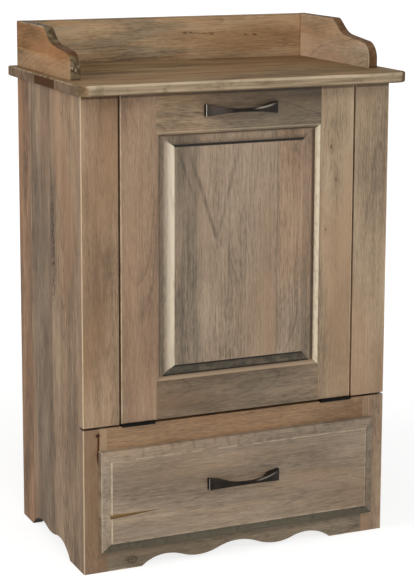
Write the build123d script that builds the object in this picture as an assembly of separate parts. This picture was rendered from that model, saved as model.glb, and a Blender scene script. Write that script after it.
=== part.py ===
from build123d import *
import math
import os

# Tilt-out waste bin cabinet in solid maple. A raised-panel door, hinged along its bottom edge,
# carries a waste bin in a wooden carrier and tilts forward. A drawer runs below it on
# full-extension slides. The top has a low gallery round three sides.
# Millimetres. While it is built, x is across the cabinet from its middle, y runs back from the
# front face of the face boards, and z is up from the floor. All pieces are then moved together
# so that the origin is under the middle of the whole object.

# Cabinet
WIDTH = 610.0
DEPTH = 350.0
TOP_HEIGHT = 892.0
STOCK = 19.0
EDGE_EASE = 1.6

# Face boards
UPPER_STILE_WIDTH = 70.0
LOWER_STILE_WIDTH = 45.0
LOWER_STILE_HEIGHT = 270.0
MIDDLE_RAIL_HEIGHT = 50.0
APRON_HEIGHT = 55.0
FRONT_GAP = 4.0
DOOR_SIDE_GAP = 3.5
DOOR_TOP_GAP = 3.0

# Scallops cut in the apron and in the side panels
APRON_FOOT = 112.0
APRON_CREST_IN = 48.0
APRON_CREST = 17.5
APRON_DIP_IN = 113.0
APRON_DIP = 5.5
APRON_MIDDLE = 22.0
SIDE_FOOT = 58.0
SIDE_CREST_IN = 52.0
SIDE_CREST = 26.0
SIDE_MIDDLE = 19.0

# Top slab and gallery
TOP_SIDE_OVERHANG = 18.0
TOP_FRONT_OVERHANG = 47.0
TOP_CORNER = 28.0
TOP_EASE = 3.0
TOP_UNDER_EASE = 2.0
GALLERY_HEIGHT = 84.0
GALLERY_COVE_HEIGHT = 57.0
GALLERY_NOSE_HEIGHT = 45.0
GALLERY_SETBACK = 47.0
GALLERY_SHOULDER = 155.0
GALLERY_STEP = 37.0
GALLERY_SHOULDER_RADIUS = 18.0
GALLERY_COVE_RADIUS = 65.0
GALLERY_NOSE_RADIUS = 32.0
GALLERY_EASE = 1.2

# Inside the carcass
PLYWOOD = 6.0
REBATE = 9.5
DADO = 6.0
STRETCHER_WIDTH = 65.0
BOTTOM_PANEL = 12.0
BOTTOM_PANEL_LIFT = 36.0

# Door
DOOR_STILE = 76.0
DOOR_TOP_RAIL = 79.0
DOOR_BOTTOM_RAIL = 78.0
STICKING_WIDTH = 8.0
STICKING_DEPTH = 7.0
STICKING_STEP = 1.0
GROOVE_DEPTH = 10.0
GROOVE_FRONT = 9.0
GROOVE_WIDTH = 6.2
PANEL_PLAY = 2.0
PANEL_SLACK = 0.1
RAISE_STEPS = 5
RAISE_SIDE = 28.5
RAISE_END = 20.5
FIELD_SETBACK = 0.4
FIELD_STEP = 1.6
PANEL_BACK = 15.5

# Butt hinges
HINGE_LENGTH = 63.5
HINGE_LEAF_DEPTH = 17.0
HINGE_LEAF = 1.65
KNUCKLE_RADIUS = 3.2
KNUCKLES = 5
KNUCKLE_GAP = 0.2
HINGE_PIN_RADIUS = 1.5
HINGE_STANDOFF = 0.3
HINGE_SCREWS = 3
HINGE_SCREW_STAGGER = 2.1

# Fits
SCREW_CLEARANCE = 0.05
SHAFT_CLEARANCE = 0.05
SLIDE_CLEARANCE = 0.3
STOP_CLEARANCE = 0.3

# Bin carrier on the back of the door
TILT = 38.0
CARRIER_STOCK = 12.7
CARRIER_RADIUS = 330.0
CARRIER_LIFT = 6.0
CARRIER_BACK_HEIGHT = 88.0
CLEAT = 19.0
CLEAT_END_GAP = 12.0
STOP_BLOCK_DEPTH = 25.0
STOP_BLOCK_HEIGHT = 50.0
STOP_BLOCK_REACH = 292.0
STOP_BLOCK_LAP = 10.0

# Waste bin
BIN_WIDTH = 368.0
BIN_DEPTH = 258.0
BIN_HEIGHT = 457.0
BIN_WALL = 2.5
BIN_CORNER = 50.0
BIN_TAPER = 14.0
BIN_RIM = 11.0
BIN_RIM_DROP = 12.0
BIN_PLAY = 4.0

# Pulls
PULL_LENGTH = 142.0
PULL_CENTRES = 128.0
PULL_REACH = 28.0
PULL_END_REACH = 9.0
PULL_END_HEIGHT = 22.0
PULL_WAIST = 6.0
PULL_THICKNESS = 5.0
PULL_FOOT = 20.0
PULL_FOOT_SLOPE = 45.0
PULL_ARCH_RADIUS = 8.0

# Drawer
DRAWER_LAP = 16.0
DRAWER_TOP_LAP = 10.0
DRAWER_BOTTOM_LAP = 14.0
DRAWER_BEVEL = 17.0
DRAWER_BEVEL_DROP = 4.5
DRAWER_FIELD_STEP = 1.5
DRAWER_STOCK = 12.7
DRAWER_DEPTH = 305.0
DRAWER_HEADROOM = 22.0
DRAWER_BOX_LIFT = 13.0
DRAWER_BOTTOM_LIFT = 12.0
DRAWER_GROOVE = 6.0
DRAWER_SCREW_INSET = 32.0
DRAWER_PULL_RAISE = 12.5

# Full-extension slides
SLIDE_SPACE = 12.7
SLIDE_HEIGHT = 45.0
SLIDE_LENGTH = 300.0
SLIDE_SETBACK = 2.0
SLIDE_STEEL = 1.2
SLIDE_LIP = 1.5
SPACER_HEIGHT = 50.0

# Screws
SCREW_SIDES = 8
WOOD_SCREW_RADIUS = 1.6
WOOD_SCREW_HEAD = 3.1
WOOD_SCREW_HEAD_HEIGHT = 1.65
WOOD_SCREW_LAND = 0.2
WOOD_SCREW_LENGTH = 16.0
PULL_SCREW_RADIUS = 2.0
PULL_SCREW_HEAD = 4.2
PULL_SCREW_HEAD_HEIGHT = 2.4
PULL_SCREW_BITE = 6.0

# Magnetic catches
CATCH_LENGTH = 40.0
CATCH_DEPTH = 14.0
CATCH_HEIGHT = 12.0
CATCH_PLATE = 1.0
CATCH_PLATE_LENGTH = 22.0
CATCH_MARGIN = 2.0
CATCH_BAR_REACH = 1.0

# Worked out from the sizes above
HALF = WIDTH / 2
INNER_HALF = HALF - STOCK
TOP_UNDER = TOP_HEIGHT - STOCK
RAIL_LOW = LOWER_STILE_HEIGHT - MIDDLE_RAIL_HEIGHT
UPPER_LOW = LOWER_STILE_HEIGHT + FRONT_GAP
STILE_OPENING = HALF - UPPER_STILE_WIDTH
DOOR_HALF = STILE_OPENING - DOOR_SIDE_GAP
DOOR_TOP = TOP_UNDER - DOOR_TOP_GAP
DRAWER_OPENING = HALF - LOWER_STILE_WIDTH
BACK_FACE = DEPTH - PLYWOOD
STRETCHER_LOW = TOP_UNDER - STOCK
AXIS_Y = -(KNUCKLE_RADIUS + HINGE_STANDOFF)
AXIS_Z = LOWER_STILE_HEIGHT + FRONT_GAP / 2
GALLERY_TOP = TOP_HEIGHT + GALLERY_HEIGHT
FRONT_REACH = max(STOCK + PULL_REACH, TOP_FRONT_OVERHANG)
CENTRE_Y = (DEPTH - FRONT_REACH) / 2

os.makedirs("parts", exist_ok=True)


def write(name, shape):
    """Moves a piece from the building frame to the part's frame and writes it."""
    export_step(Pos(0, -CENTRE_Y, 0) * shape, f"parts/{name}.step")


def write_pair(name, left):
    """Writes a left-hand piece and its mirror image."""
    write(f"{name}_left", left)
    write(f"{name}_right", mirror(left, about=Plane.YZ))


def block(x_low, x_high, y_low, y_high, z_low, z_high):
    size = Box(x_high - x_low, y_high - y_low, z_high - z_low)
    return Pos((x_low + x_high) / 2, (y_low + y_high) / 2, (z_low + z_high) / 2) * size


def outline_face(*lines):
    """A face inside a closed run of lines and curves."""
    return make_face([edge for line in lines for edge in line.edges()])


def rod(radius, x_low, x_high, y, z):
    """A cylinder along x."""
    return Pos((x_low + x_high) / 2, y, z) * Rot(0, 90, 0) * Cylinder(radius, x_high - x_low)


def front_edges(shape, y, directions):
    """The straight edges of a shape in the plane at this y, in the given directions."""
    found = ShapeList()
    for edge in shape.edges().filter_by(GeomType.LINE):
        middle = edge.center()
        along = edge.tangent_at(0.5)
        if abs(middle.Y - y) > 0.01 or edge.length < STOCK:
            continue
        if ("z" in directions and abs(along.Z) > 0.9) or ("x" in directions and abs(along.X) > 0.9):
            found.append(edge)
    return found


def eased(shape, y, directions, keep=None):
    """Rounds over the front edges of a board, except those that meet another board."""
    edges = front_edges(shape, y, directions)
    if keep is not None:
        edges = ShapeList([edge for edge in edges if keep(edge.center())])
    return fillet(edges, EDGE_EASE)


# Carcass

def wave(points):
    """Arcs through turning points: one from the foot to the first, then an S between each two."""
    lines = [TangentArc(points[1], points[0], tangent=(points[0][0] - points[1][0], 0))]
    for start, end in zip(points[1:-2], points[2:-1]):
        middle = ((start[0] + end[0]) / 2, (start[1] + end[1]) / 2)
        lines.append(TangentArc(start, middle, tangent=(1, 0)))
        lines.append(TangentArc(end, middle, tangent=(-1, 0)))
    lines.append(TangentArc(points[-2], points[-1], tangent=(1, 0)))
    lines.append(Line(points[-1], points[0]))
    return outline_face(*lines)


def side_scallop():
    """The shape cut from the bottom of a side panel, drawn in y and z."""
    middle = (STOCK + DEPTH) / 2
    reach = (DEPTH - STOCK) / 2 - SIDE_FOOT
    points = [
        (middle - reach, 0),
        (middle - SIDE_CREST_IN, SIDE_CREST),
        (middle, SIDE_MIDDLE),
        (middle + SIDE_CREST_IN, SIDE_CREST),
        (middle + reach, 0),
    ]
    return wave(points)


def side_panel():
    """Left side, with the rebate for the back and dadoes for the shelf and the bottom."""
    panel = block(-HALF, -INNER_HALF, STOCK, DEPTH, 0, TOP_UNDER)
    panel -= extrude(Pos(-HALF, 0, 0) * (Plane.YZ * side_scallop()), STOCK)
    panel -= block(-HALF + STOCK - REBATE, -INNER_HALF, BACK_FACE, DEPTH, BOTTOM_PANEL_LIFT, TOP_UNDER)
    panel -= divider_shelf()
    panel -= bottom_panel()
    return panel


def divider_shelf():
    reach = INNER_HALF + DADO
    return block(-reach, reach, STOCK, BACK_FACE, LOWER_STILE_HEIGHT - STOCK, LOWER_STILE_HEIGHT)


def bottom_panel():
    reach = INNER_HALF + DADO
    return block(-reach, reach, STOCK, BACK_FACE, BOTTOM_PANEL_LIFT, BOTTOM_PANEL_LIFT + BOTTOM_PANEL)


def back_panel():
    reach = HALF - STOCK + REBATE
    return block(-reach, reach, BACK_FACE, DEPTH, BOTTOM_PANEL_LIFT, TOP_UNDER)


def stretcher(y_low):
    return block(-INNER_HALF, INNER_HALF, y_low, y_low + STRETCHER_WIDTH, STRETCHER_LOW, TOP_UNDER)


def upper_stile():
    stile = block(-HALF, -STILE_OPENING, 0, STOCK, UPPER_LOW, TOP_UNDER)
    return eased(stile, 0, "z")


def lower_stile():
    stile = block(-HALF, -DRAWER_OPENING, 0, STOCK, 0, LOWER_STILE_HEIGHT)
    return eased(stile, 0, "z", lambda at: at.X < -DRAWER_OPENING - EDGE_EASE)


def middle_rail():
    rail = block(-DRAWER_OPENING, DRAWER_OPENING, 0, STOCK, RAIL_LOW, LOWER_STILE_HEIGHT)
    return rail - hinge_screws(False, SCREW_CLEARANCE)


def apron():
    """Bottom rail with its feet and a double scallop between them."""
    foot = HALF - APRON_FOOT
    crest = foot - APRON_CREST_IN
    dip = foot - APRON_DIP_IN
    points = [
        (-foot, 0),
        (-crest, APRON_CREST),
        (-dip, APRON_DIP),
        (0, APRON_MIDDLE),
        (dip, APRON_DIP),
        (crest, APRON_CREST),
        (foot, 0),
    ]
    rail = block(-DRAWER_OPENING, DRAWER_OPENING, 0, STOCK, 0, APRON_HEIGHT)
    return rail - extrude(Plane.XZ * wave(points), -STOCK)


def top_slab():
    half = HALF + TOP_SIDE_OVERHANG
    slab = block(-half, half, -TOP_FRONT_OVERHANG, DEPTH, TOP_UNDER, TOP_HEIGHT)
    slab = fillet(slab.edges().filter_by(Axis.Z).group_by(Axis.Y)[0], TOP_CORNER)
    slab = fillet(slab.faces().sort_by(Axis.Z)[-1].edges(), TOP_EASE)
    return chamfer(slab.faces().sort_by(Axis.Z)[0].edges(), TOP_UNDER_EASE)


def gallery_side():
    """Left end of the gallery: a shoulder, a long cove and a rounded nose."""
    shoulder = DEPTH - GALLERY_SHOULDER
    corners = [
        (DEPTH, TOP_HEIGHT),
        (DEPTH, GALLERY_TOP),
        (shoulder, GALLERY_TOP),
        (shoulder - GALLERY_STEP, TOP_HEIGHT + GALLERY_COVE_HEIGHT),
        (GALLERY_SETBACK, TOP_HEIGHT + GALLERY_NOSE_HEIGHT),
        (GALLERY_SETBACK, TOP_HEIGHT),
    ]
    radii = [0, GALLERY_SHOULDER_RADIUS, GALLERY_COVE_RADIUS, GALLERY_NOSE_RADIUS]
    outline = FilletPolyline(*corners, radius=radii)
    face = outline_face(outline, Line(corners[-1], corners[0]))
    side = extrude(Pos(-HALF, 0, 0) * (Plane.YZ * face), STOCK)
    rim = side.faces().filter_by(Axis.X).edges().filter_by(on_gallery_rim)
    return chamfer(rim, GALLERY_EASE)


def on_gallery_rim(edge):
    """Whether an edge is part of the shaped rim and not of the foot or the back."""
    middle = edge.center()
    return middle.Z > TOP_HEIGHT + GALLERY_EASE and middle.Y < DEPTH - GALLERY_EASE


def gallery_back():
    board = block(-INNER_HALF, INNER_HALF, DEPTH - STOCK, DEPTH, TOP_HEIGHT, GALLERY_TOP)
    return chamfer(board.faces().sort_by(Axis.Z)[-1].edges().filter_by(Axis.X), GALLERY_EASE)


# Door

def sticking(outer, inner, sign):
    """Section of a door member: flat face, moulded inner edge and panel groove.

    The width runs along the section's first axis and the depth along its second. The moulding is
    a rounded edge below a small step. The sign is +1 where the inner edge is on the high side.
    """
    flat = inner - sign * STICKING_WIDTH
    bed = inner - sign * GROOVE_DEPTH
    groove_back = GROOVE_FRONT + GROOVE_WIDTH
    face = Polyline((outer, STOCK), (outer, 0), (flat, 0), (flat, STICKING_STEP))
    moulding = TangentArc((flat, STICKING_STEP), (inner, STICKING_DEPTH), tangent=(sign, 0))
    groove = Polyline(
        (inner, STICKING_DEPTH),
        (inner, GROOVE_FRONT),
        (bed, GROOVE_FRONT),
        (bed, groove_back),
        (inner, groove_back),
        (inner, STOCK),
        (outer, STOCK),
    )
    return outline_face(face, moulding, groove)


def door_stile():
    section = Pos(0, 0, UPPER_LOW) * sticking(-DOOR_HALF, -DOOR_HALF + DOOR_STILE, 1)
    stile = extrude(section, DOOR_TOP - UPPER_LOW)
    stile = eased(stile, 0, "xz", on_door_outline)
    return stile - hinge_screws(True, SCREW_CLEARANCE)


def on_door_outline(at):
    """Whether an edge with its middle here lies on the outline of the whole door."""
    inside = abs(at.X) < DOOR_HALF - EDGE_EASE
    return not (inside and UPPER_LOW + EDGE_EASE < at.Z < DOOR_TOP - EDGE_EASE)


def coped_plan():
    """Right half of a rail seen from above: its end fits over a stile's moulding and groove."""
    inner = DOOR_HALF - DOOR_STILE
    cope = inner + STICKING_WIDTH
    tenon = inner + GROOVE_DEPTH
    groove_back = GROOVE_FRONT + GROOVE_WIDTH
    front = Polyline((0, STOCK), (0, 0), (cope, 0), (cope, STICKING_STEP))
    hollow = TangentArc((cope, STICKING_STEP), (inner, STICKING_DEPTH), tangent=(-1, 0))
    back = Polyline(
        (inner, STICKING_DEPTH),
        (inner, GROOVE_FRONT),
        (tenon, GROOVE_FRONT),
        (tenon, groove_back),
        (inner, groove_back),
        (inner, STOCK),
        (0, STOCK),
    )
    return outline_face(front, hollow, back)


def door_rail(outer, inner, sign):
    """A rail coped over the moulding of both stiles, with stub tenons in their grooves.

    It is what the run of its own moulded section and the outline of its coped ends share.
    """
    reach = DOOR_HALF
    end = Plane(origin=(reach, 0, 0), x_dir=(0, 0, 1), z_dir=(-1, 0, 0))
    run = extrude(end * sticking(outer, inner, sign), 2 * reach)
    plan = coped_plan() + mirror(coped_plan(), about=Plane.YZ)
    rail = run & extrude(Pos(0, 0, min(outer, inner)) * plan, abs(outer - inner))
    return eased(rail, 0, "x", on_door_outline)


def door_panel():
    """Raised panel: a flat field, a small step and a cove down to the tongue."""
    half = DOOR_HALF - DOOR_STILE
    low = UPPER_LOW + DOOR_BOTTOM_RAIL
    high = DOOR_TOP - DOOR_TOP_RAIL
    middle = (low + high) / 2
    tongue_front = GROOVE_FRONT + PANEL_SLACK
    tongue_back = GROOVE_FRONT + GROOVE_WIDTH - PANEL_SLACK
    tongue = GROOVE_DEPTH - PANEL_PLAY
    field_edge = FIELD_SETBACK + FIELD_STEP
    rings = []
    for index in range(RAISE_STEPS + 1):
        part = index / RAISE_STEPS
        depth = tongue_front - (tongue_front - field_edge) * (1 - part) ** 2
        width = 2 * (half - RAISE_SIDE * (1 - part))
        height = (high - low) - 2 * RAISE_END * (1 - part)
        plane = Plane(origin=(0, depth, middle), x_dir=(1, 0, 0), z_dir=(0, -1, 0))
        rings.append(plane * Rectangle(width, height))
    panel = loft(rings, ruled=True)
    field_x = half - RAISE_SIDE
    panel += block(-field_x, field_x, FIELD_SETBACK, field_edge, low + RAISE_END, high - RAISE_END)
    reach = half + tongue
    panel += block(-reach, reach, tongue_front, tongue_back, low - tongue, high + tongue)
    side = half - PANEL_PLAY
    panel += block(-side, side, tongue_back, PANEL_BACK, low + PANEL_PLAY, high - PANEL_PLAY)
    return panel


def door_rails():
    low = UPPER_LOW + DOOR_BOTTOM_RAIL
    high = DOOR_TOP - DOOR_TOP_RAIL
    top = door_rail(DOOR_TOP, high, -1) - pull_screws(door_pull_seat(), STOCK, SCREW_CLEARANCE)
    bottom = door_rail(UPPER_LOW, low, 1)
    return top, bottom


# Butt hinges, with the left one running in from the left edge of the door

def knuckles(for_door):
    """Start and end of each knuckle of one leaf."""
    start = -DOOR_HALF
    pitch = HINGE_LENGTH / KNUCKLES
    first = 1 if for_door else 0
    spans = []
    for index in range(first, KNUCKLES, 2):
        low = start + index * pitch
        spans.append((low + KNUCKLE_GAP / 2, low + pitch - KNUCKLE_GAP / 2))
    return spans


def hinge_leaf(for_door):
    """One leaf: a plate flat against its board and the knuckles rolled from it."""
    start = -DOOR_HALF
    if for_door:
        low, high = UPPER_LOW - HINGE_LEAF, UPPER_LOW
    else:
        low, high = LOWER_STILE_HEIGHT, LOWER_STILE_HEIGHT + HINGE_LEAF
    front = AXIS_Y + KNUCKLE_RADIUS + 2 * HINGE_STANDOFF
    leaf = block(start, start + HINGE_LENGTH, front, HINGE_LEAF_DEPTH, low, high)
    for x_low, x_high in knuckles(for_door):
        leaf += block(x_low, x_high, AXIS_Y, front, low, high)
        leaf += rod(KNUCKLE_RADIUS, x_low, x_high, AXIS_Y, AXIS_Z)
    bore = HINGE_PIN_RADIUS + SHAFT_CLEARANCE
    leaf -= rod(bore, start, start + HINGE_LENGTH, AXIS_Y, AXIS_Z)
    return leaf - hinge_screws(for_door, SCREW_CLEARANCE)


def hinge_pins():
    """A plain pin for each hinge, flush with the ends of its barrel."""
    pin = rod(HINGE_PIN_RADIUS, -DOOR_HALF, -DOOR_HALF + HINGE_LENGTH, AXIS_Y, AXIS_Z)
    return Compound([pin, mirror(pin, about=Plane.YZ)])


def round_bar(radius, height):
    """A screw's shank or head, as a prism of few sides that stands on z = 0."""
    return extrude(RegularPolygon(radius, SCREW_SIDES), height)


def wood_screw(x, y, z, up, grow):
    """A countersunk screw with its head flush at z, pointing up or down."""
    height = WOOD_SCREW_HEAD_HEIGHT
    head = Pos(0, 0, -height) * round_bar(WOOD_SCREW_HEAD + grow, height)
    head = chamfer(head.edges().group_by(Axis.Z)[0], height - WOOD_SCREW_LAND)
    length = WOOD_SCREW_LENGTH + grow
    shank = Pos(0, 0, -length) * round_bar(WOOD_SCREW_RADIUS + grow, length - height)
    turned = Rot(180, 0, 0) if up else Rot(0, 0, 0)
    return Pos(x, y, z) * turned * (head + shank)


def hinge_screws(for_door, grow):
    """Three staggered screws through one leaf of each hinge."""
    level = UPPER_LOW - HINGE_LEAF if for_door else LOWER_STILE_HEIGHT + HINGE_LEAF
    middle = (AXIS_Y + KNUCKLE_RADIUS + HINGE_LEAF_DEPTH) / 2
    pitch = HINGE_LENGTH / HINGE_SCREWS
    screws = []
    for index in range(HINGE_SCREWS):
        x = -DOOR_HALF + pitch * (index + 0.5)
        y = middle + (HINGE_SCREW_STAGGER if index % 2 else -HINGE_SCREW_STAGGER)
        left = wood_screw(x, y, level, for_door, grow)
        screws += [left, mirror(left, about=Plane.YZ)]
    return Compound(screws)


# Bin carrier

CARRIER_LOW = AXIS_Z + CARRIER_LIFT
CARRIER_INNER = BIN_WIDTH / 2 + BIN_PLAY
CARRIER_OUTER = CARRIER_INNER + CARRIER_STOCK
BIN_FRONT = STOCK + BIN_PLAY
CARRIER_BACK = BIN_FRONT + BIN_DEPTH + BIN_PLAY
BASE_TOP = CARRIER_LOW + CARRIER_STOCK


def carrier_side():
    """A quarter round about the hinge axis, so that it clears the carcass as it swings."""
    round_plate = Pos(-CARRIER_OUTER, AXIS_Y, AXIS_Z) * Rot(0, 90, 0) * Cylinder(
        CARRIER_RADIUS, CARRIER_STOCK, align=(Align.CENTER, Align.CENTER, Align.MIN)
    )
    reach = CARRIER_RADIUS + STOCK
    quarter = block(-CARRIER_OUTER, -CARRIER_INNER, STOCK, STOCK + reach, CARRIER_LOW, CARRIER_LOW + reach)
    return round_plate & quarter


def carrier_base():
    back = CARRIER_BACK + CARRIER_STOCK
    return block(-CARRIER_INNER, CARRIER_INNER, STOCK, back, CARRIER_LOW, BASE_TOP)


def carrier_back():
    back = CARRIER_BACK + CARRIER_STOCK
    return block(-CARRIER_INNER, CARRIER_INNER, CARRIER_BACK, back, BASE_TOP, BASE_TOP + CARRIER_BACK_HEIGHT)


def carrier_cleat():
    """A strip in the corner between a carrier side and the door stile."""
    top = AXIS_Z + CARRIER_RADIUS - CLEAT_END_GAP
    strip = block(
        -CARRIER_OUTER - CLEAT,
        -CARRIER_OUTER,
        STOCK,
        STOCK + CLEAT,
        CARRIER_LOW + CLEAT_END_GAP,
        top - CLEAT_END_GAP,
    )
    return strip


def stop_block():
    """A block that lies flat against the back of the upper stile when the door is fully tilted.

    It is laid out in that tilted place and then turned back with the door about the hinge axis.
    """
    face = STOCK + STOP_CLEARANCE
    low = AXIS_Z + STOP_BLOCK_REACH - STOP_BLOCK_HEIGHT / 2
    tilted = block(
        -STILE_OPENING - STOP_BLOCK_LAP,
        -CARRIER_OUTER,
        face,
        face + STOP_BLOCK_DEPTH,
        low,
        low + STOP_BLOCK_HEIGHT,
    )
    turn = Pos(0, AXIS_Y, AXIS_Z) * Rot(-TILT, 0, 0) * Pos(0, -AXIS_Y, -AXIS_Z)
    return turn * tilted


def bin_middle(z):
    return Pos(0, BIN_FRONT + BIN_DEPTH / 2, z)


def bin_prism(top, inset, height):
    """An upright rounded prism, so far inside the rim's outline, that hangs from this height."""
    size = RectangleRounded(BIN_WIDTH - 2 * inset, BIN_DEPTH - 2 * inset, BIN_CORNER - inset)
    return extrude(bin_middle(top) * size, -height)


def bin_hull(low, inset):
    """A body with sloping walls and round corners, from this height up to the rim."""
    top = BASE_TOP + BIN_HEIGHT
    gap = BIN_RIM + inset
    half_width = BIN_WIDTH / 2 - gap
    half_depth = BIN_DEPTH / 2 - gap
    hull = bin_middle((low + top) / 2) * Box(2 * half_width, 2 * half_depth, top - low)
    walls = [(1, 0, half_width), (-1, 0, half_width), (0, 1, half_depth), (0, -1, half_depth)]
    for x, y, half in walls:
        rim_point = bin_middle(top) * Pos(x * half, y * half, 0)
        outward = (x * BIN_HEIGHT, y * BIN_HEIGHT, -BIN_TAPER)
        hull = split(hull, Plane(origin=rim_point.position, z_dir=outward), keep=Keep.BOTTOM)
    sloping = [edge for edge in hull.edges() if abs(edge.tangent_at(0.5).Z) > 0.5]
    return fillet(sloping, BIN_CORNER - gap)


def waste_bin():
    """Tapered bin with a turned-down rim."""
    top = BASE_TOP + BIN_HEIGHT
    rim = bin_prism(top, 0, BIN_RIM_DROP) - bin_prism(top - BIN_WALL, BIN_WALL, BIN_RIM_DROP)
    rim -= bin_prism(top, BIN_RIM + BIN_WALL / 2, BIN_RIM_DROP)
    return bin_hull(BASE_TOP, 0) + rim - bin_hull(BASE_TOP + BIN_WALL, BIN_WALL)


# Magnetic catches under the front stretcher and their plates on the door

CATCH_X = CARRIER_OUTER + CLEAT - CATCH_LENGTH / 2


def catch_plates():
    low = STRETCHER_LOW - CATCH_HEIGHT
    half = CATCH_PLATE_LENGTH / 2
    left = block(-CATCH_X - half, -CATCH_X + half, STOCK, STOCK + CATCH_PLATE, low, STRETCHER_LOW)
    return Compound([left, mirror(left, about=Plane.YZ)])


def magnetic_catches():
    """A moulded case with a short magnet bar standing out of its front."""
    low = STRETCHER_LOW - CATCH_HEIGHT
    front = STOCK + CATCH_PLATE + STOP_CLEARANCE
    half = CATCH_LENGTH / 2
    face = front + CATCH_BAR_REACH
    case = block(-CATCH_X - half, -CATCH_X + half, face, front + CATCH_DEPTH, low, STRETCHER_LOW)
    case = chamfer(case.edges().filter_by(Axis.Z), CATCH_MARGIN)
    bar = CATCH_PLATE_LENGTH / 2
    high = STRETCHER_LOW - CATCH_MARGIN
    case += block(-CATCH_X - bar, -CATCH_X + bar, front, face, low + CATCH_MARGIN, high)
    return Compound([case, mirror(case, about=Plane.YZ)])


# Pulls

def pull_front():
    """Bow-tie seen from the front: both ends are high and the waist between them is low."""
    half, end, waist = PULL_LENGTH / 2, PULL_END_HEIGHT / 2, PULL_WAIST / 2
    upper = ThreePointArc((-half, end), (0, waist), (half, end))
    lower = ThreePointArc((half, -end), (0, -waist), (-half, -end))
    return outline_face(upper, Line(upper @ 1, lower @ 0), lower, Line(lower @ 1, upper @ 0))


def pull_plan():
    """Bow seen from above, with an arch behind it that slopes out to the flat of each foot."""
    half = PULL_LENGTH / 2
    rise = PULL_REACH - PULL_END_REACH
    bow = ThreePointArc((-half, -PULL_END_REACH), (0, -PULL_REACH), (half, -PULL_END_REACH))
    base = Polyline(bow @ 1, (half, 0), (-half, 0), bow @ 0)
    inner = half - PULL_FOOT
    narrow = inner - PULL_REACH / math.tan(math.radians(PULL_FOOT_SLOPE))
    slopes = Polyline((inner, 0), (narrow, -PULL_REACH), (-narrow, -PULL_REACH), (-inner, 0), close=True)
    sweep = (half ** 2 + rise ** 2) / (2 * rise)
    blade_back = Pos(0, sweep - PULL_REACH) * Circle(sweep - PULL_THICKNESS)
    arch = make_face(slopes) & blade_back
    return outline_face(bow, base) - fillet(arch.vertices().group_by(Axis.Y)[0], PULL_ARCH_RADIUS)


def pull():
    """Pull on the plane y = 0, centred on x and z: what its front and its plan share."""
    front = extrude(Plane.XZ * pull_front(), 2 * PULL_REACH)
    return front & extrude(pull_plan(), PULL_END_HEIGHT, both=True)


def door_pull_seat():
    """Face and height of the door pull, in the middle of the top rail's flat."""
    flat = DOOR_TOP_RAIL - STICKING_WIDTH
    return 0.0, DOOR_TOP - flat / 2


def drawer_pull_seat():
    return -STOCK, (DRAWER_FRONT_LOW + DRAWER_FRONT_HIGH) / 2 + DRAWER_PULL_RAISE


def placed_pull(seat):
    face, height = seat
    shape = Pos(0, face, height) * pull()
    return shape - pull_screws(seat, STOCK, SCREW_CLEARANCE)


def pull_screws(seat, thickness, grow):
    """Two pan-head machine screws from the back of the wood into the feet of a pull."""
    face, height = seat
    length = thickness + PULL_SCREW_BITE + grow
    shank = Rot(90, 0, 0) * round_bar(PULL_SCREW_RADIUS + grow, length)
    head = Rot(-90, 0, 0) * round_bar(PULL_SCREW_HEAD + grow, PULL_SCREW_HEAD_HEIGHT)
    screw = Pos(-PULL_CENTRES / 2, face + thickness, height) * (shank + head)
    return Compound([screw, mirror(screw, about=Plane.YZ)])


# Drawer, closed with its front against the face boards

DRAWER_FRONT_LOW = APRON_HEIGHT - DRAWER_BOTTOM_LAP
DRAWER_FRONT_HIGH = RAIL_LOW + DRAWER_TOP_LAP
SLIDE_FACE = DRAWER_OPENING - SLIDE_SPACE
DRAWER_INNER = SLIDE_FACE - DRAWER_STOCK
DRAWER_LOW = APRON_HEIGHT + DRAWER_BOX_LIFT
DRAWER_HIGH = RAIL_LOW - DRAWER_HEADROOM
DRAWER_SCREW_X = DRAWER_INNER / 2
SLIDE_MIDDLE = (DRAWER_LOW + DRAWER_HIGH) / 2
SLIDE_END = SLIDE_SETBACK + SLIDE_LENGTH


def drawer_front():
    """Slab front with a wide bevel all round and a flat field that stands a small step above it."""
    half = DRAWER_OPENING + DRAWER_LAP
    field_half = half - DRAWER_BEVEL
    low = DRAWER_FRONT_LOW + DRAWER_BEVEL
    high = DRAWER_FRONT_HIGH - DRAWER_BEVEL
    bevel_top = -STOCK + DRAWER_FIELD_STEP
    edge = bevel_top + DRAWER_BEVEL_DROP
    slab = block(-half, half, edge, 0, DRAWER_FRONT_LOW, DRAWER_FRONT_HIGH)
    middle = (low + high) / 2
    outer = Plane(origin=(0, edge, middle), x_dir=(1, 0, 0), z_dir=(0, -1, 0))
    inner = Plane(origin=(0, bevel_top, middle), x_dir=(1, 0, 0), z_dir=(0, -1, 0))
    rings = [
        outer * Rectangle(2 * half, DRAWER_FRONT_HIGH - DRAWER_FRONT_LOW),
        inner * Rectangle(2 * field_half, high - low),
    ]
    front = slab + loft(rings, ruled=True)
    front += block(-field_half, field_half, -STOCK, bevel_top, low, high)
    front -= pull_screws(drawer_pull_seat(), STOCK + DRAWER_STOCK, SCREW_CLEARANCE)
    return front - drawer_front_screws(SCREW_CLEARANCE)


def drawer_bottom():
    x = DRAWER_INNER + DRAWER_GROOVE
    low = DRAWER_LOW + DRAWER_BOTTOM_LIFT
    y_low = DRAWER_STOCK - DRAWER_GROOVE
    return block(-x, x, y_low, DRAWER_DEPTH - y_low, low, low + PLYWOOD)


def drawer_side():
    side = block(-SLIDE_FACE, -DRAWER_INNER, 0, DRAWER_DEPTH, DRAWER_LOW, DRAWER_HIGH)
    return side - drawer_bottom()


def drawer_box_end(y_low):
    end = block(-DRAWER_INNER, DRAWER_INNER, y_low, y_low + DRAWER_STOCK, DRAWER_LOW, DRAWER_HIGH)
    return end - drawer_bottom()


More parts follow.
